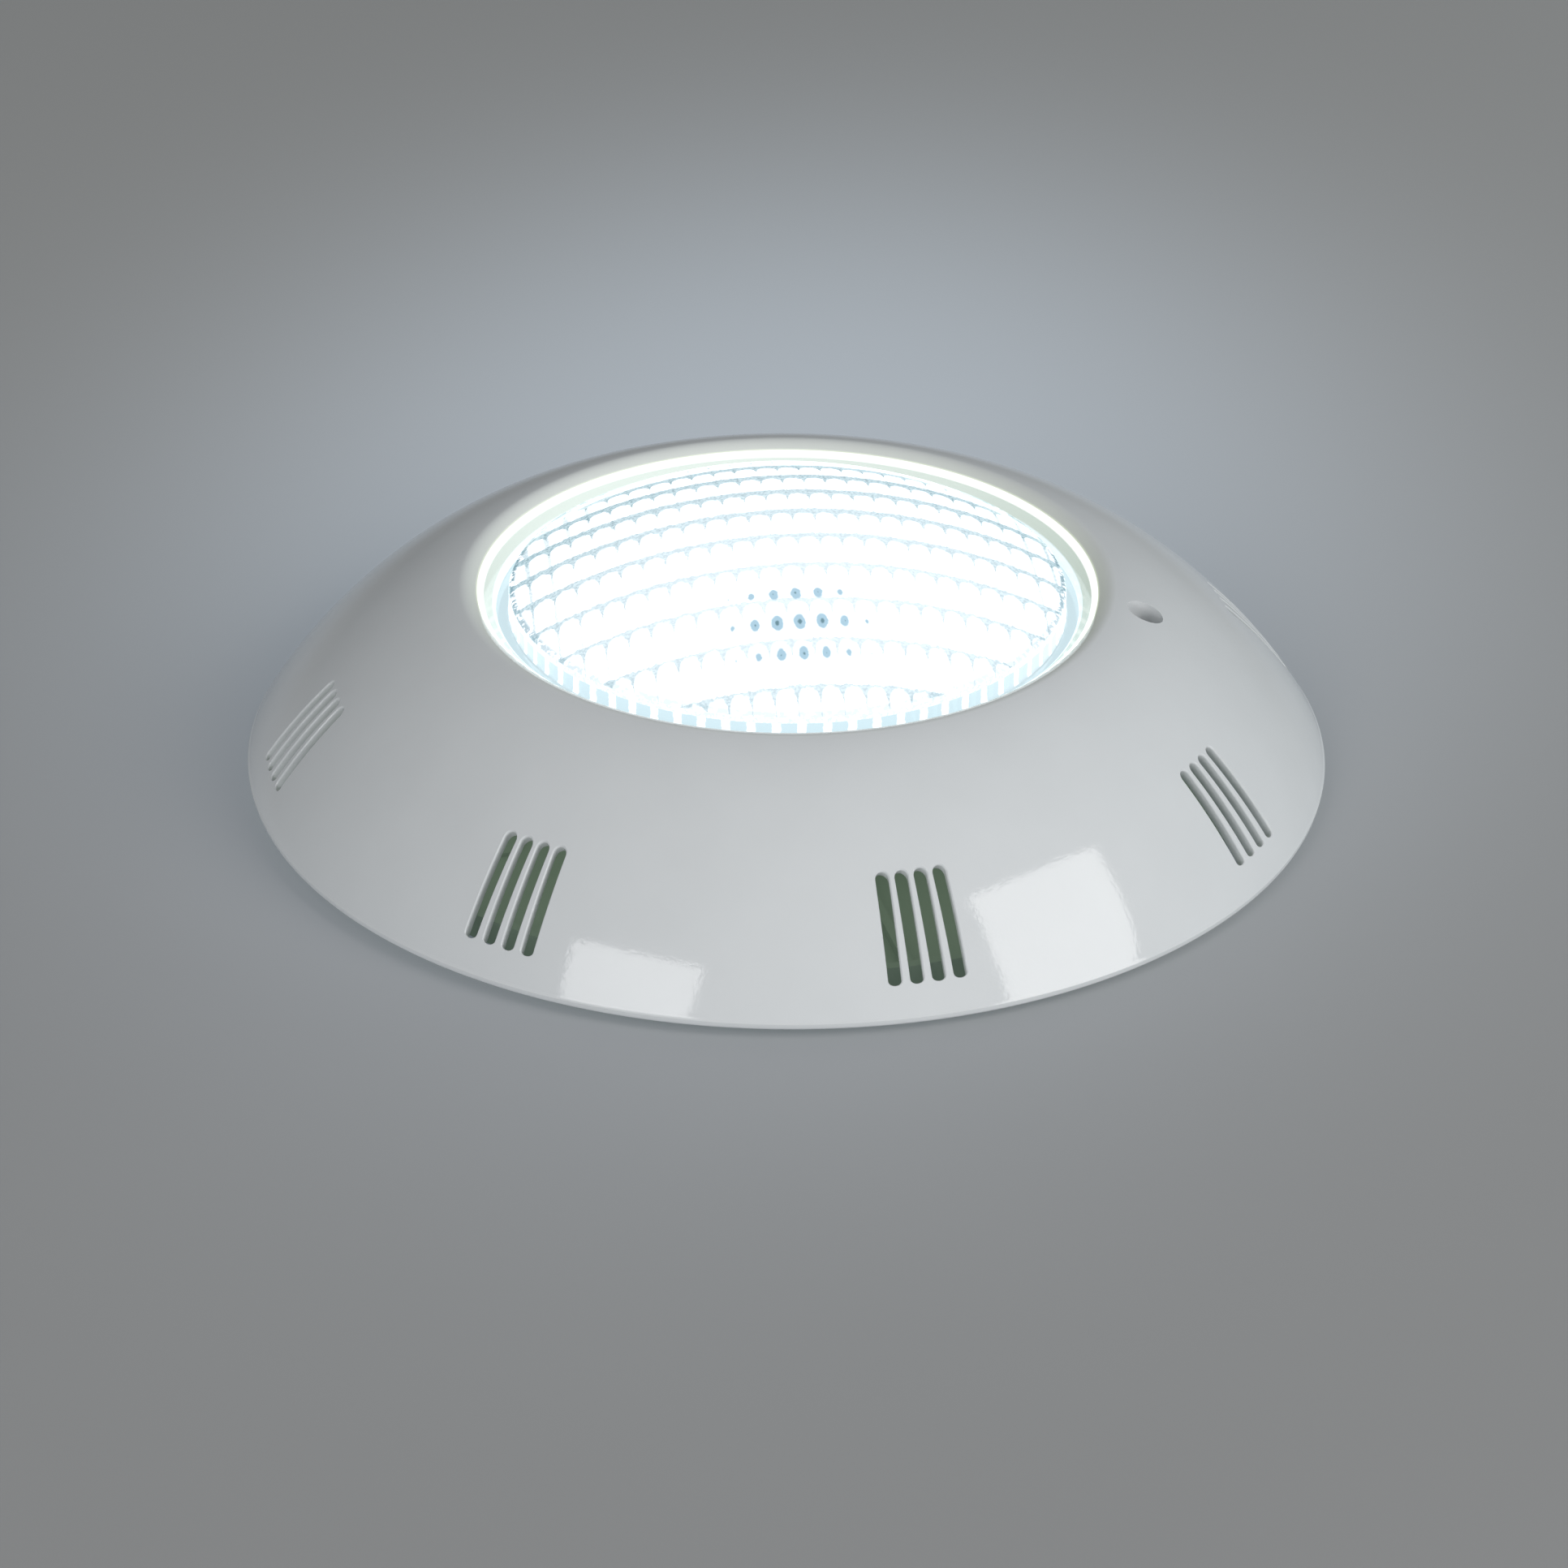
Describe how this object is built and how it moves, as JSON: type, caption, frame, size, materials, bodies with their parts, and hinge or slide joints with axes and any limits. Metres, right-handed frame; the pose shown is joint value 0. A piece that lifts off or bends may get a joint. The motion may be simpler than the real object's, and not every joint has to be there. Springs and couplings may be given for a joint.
{
  "type": "underwater pool light",
  "caption": "Round surface-mounted underwater light: domed white cover with water slots, lit prismatic lens, sealed LED lamp, and a wall bracket with a hook and a lock screw.",
  "frame": {"origin": "centre of the wall bracket's back face, which lies on the pool wall", "axes": "+Z along the light, away from the wall; +X towards the lock screw; the hinge pin is on -X, parallel to Y"},
  "size_m": [0.29, 0.29, 0.0708],
  "materials": {
    "white_abs": "glossy moulded ABS with a very fine orange peel",
    "grey_abs": "satin moulded ABS",
    "dark_green_abs": "satin moulded ABS",
    "clear_lens": "clear polycarbonate with prisms inside",
    "rubber": "matt silicone rubber",
    "reflector_white": "bright white, semi-gloss",
    "aluminium": "turned",
    "solder_mask_white": "white solder mask",
    "led": "lit LED package",
    "circuit_board": "green solder mask",
    "stainless": "A4 stainless steel",
    "brass": "turned",
    "nylon": "natural nylon",
    "component_black": "moulded epoxy or sleeve",
    "copper": "enamelled copper wire",
    "terminal_green": "satin moulded plastic",
    "insulation_red": "PVC insulation",
    "insulation_black": "PVC insulation"
  },
  "bodies": {
    "wall_bracket": {"wall_bracket": "dark_green_abs", "bracket_insert": "brass"},
    "cover": {"front_cover": "white_abs", "hinge_pin": "stainless", "prismatic_lens": "clear_lens", "lens_gasket": "rubber", "reflector": "reflector_white", "lamp_housing": "dark_green_abs", "heat_spreader": "aluminium", "led_board": "solder_mask_white", "driver_board": "circuit_board", "filter_capacitor": "component_black", "choke": "copper", "bridge_rectifier": "component_black", "terminal_block": "terminal_green", "lead_red": "insulation_red", "lead_black": "insulation_black", "gland_body": "grey_abs", "gland_oring": "rubber", "gland_locknut": "grey_abs", "gland_seal": "rubber", "lamp_screw_1": "stainless", "lamp_screw_2": "stainless", "lamp_screw_3": "stainless", "lamp_screw_4": "stainless", "lamp_screw_5": "stainless", "lamp_screw_6": "stainless", "clip_screw_1": "stainless", "clip_screw_2": "stainless", "clip_screw_3": "stainless", "driver_screw_1": "stainless", "board_screw_1": "stainless", "driver_screw_2": "stainless", "board_screw_2": "stainless", "led_1": "led", "led_2": "led", "led_3": "led", "led_4": "led", "led_5": "led", "led_6": "led", "led_7": "led", "led_8": "led", "led_9": "led", "led_10": "led", "led_11": "led", "led_12": "led", "led_13": "led", "led_14": "led", "led_15": "led", "led_16": "led", "led_17": "led", "led_18": "led"},
    "clip_1": {"lamp_clip_1": "grey_abs"},
    "clip_2": {"lamp_clip_2": "grey_abs"},
    "clip_3": {"lamp_clip_3": "grey_abs"},
    "screw_washer": {"screw_washer": "nylon"},
    "lock_screw": {"lock_screw": "stainless", "screw_retainer": "stainless"},
    "gland_slip_washer": {"gland_slip_washer": "nylon"},
    "gland_nut": {"gland_nut": "grey_abs"}
  },
  "joints": [
    {"name": "cover_tilt", "type": "hinge", "parent": "wall_bracket", "child": "cover", "pos_m": [-0.135, 0, 0.0065], "axis": [0, -1, 0], "range_deg": [0, 14]},
    {"name": "lock_screw_travel", "type": "slide", "parent": "cover", "child": "screw_washer", "axis": [0, 0, 1], "range_m": [0, 0.008]},
    {"name": "lock_screw_turn", "type": "hinge", "parent": "screw_washer", "child": "lock_screw", "pos_m": [0.0951, 0, 0.0401], "axis": [0, 0, 1], "range_deg": [0, 3600]},
    {"name": "gland_nut_travel", "type": "slide", "parent": "cover", "child": "gland_slip_washer", "axis": [0, -1, 0], "range_m": [0, 0.006]},
    {"name": "gland_nut_turn", "type": "hinge", "parent": "gland_slip_washer", "child": "gland_nut", "pos_m": [0, -0.09, 0.021], "axis": [0, -1, 0], "range_deg": [0, 1440]},
    {"name": "clip_1_swivel", "type": "hinge", "parent": "cover", "child": "clip_1", "pos_m": [0.0475, 0.08227, 0.0365], "axis": [0, 0, 1], "range_deg": [0, 90]},
    {"name": "clip_2_swivel", "type": "hinge", "parent": "cover", "child": "clip_2", "pos_m": [-0.095, 0, 0.0365], "axis": [0, 0, 1], "range_deg": [0, 90]},
    {"name": "clip_3_swivel", "type": "hinge", "parent": "cover", "child": "clip_3", "pos_m": [0.0475, -0.08227, 0.0365], "axis": [0, 0, 1], "range_deg": [0, 90]}
  ],
  "couplings": [
    {"joint": "lock_screw_turn", "follows": "lock_screw_travel", "rad_per_m": 7853.9},
    {"joint": "gland_nut_turn", "follows": "gland_nut_travel", "rad_per_m": 4188.7}
  ]
}
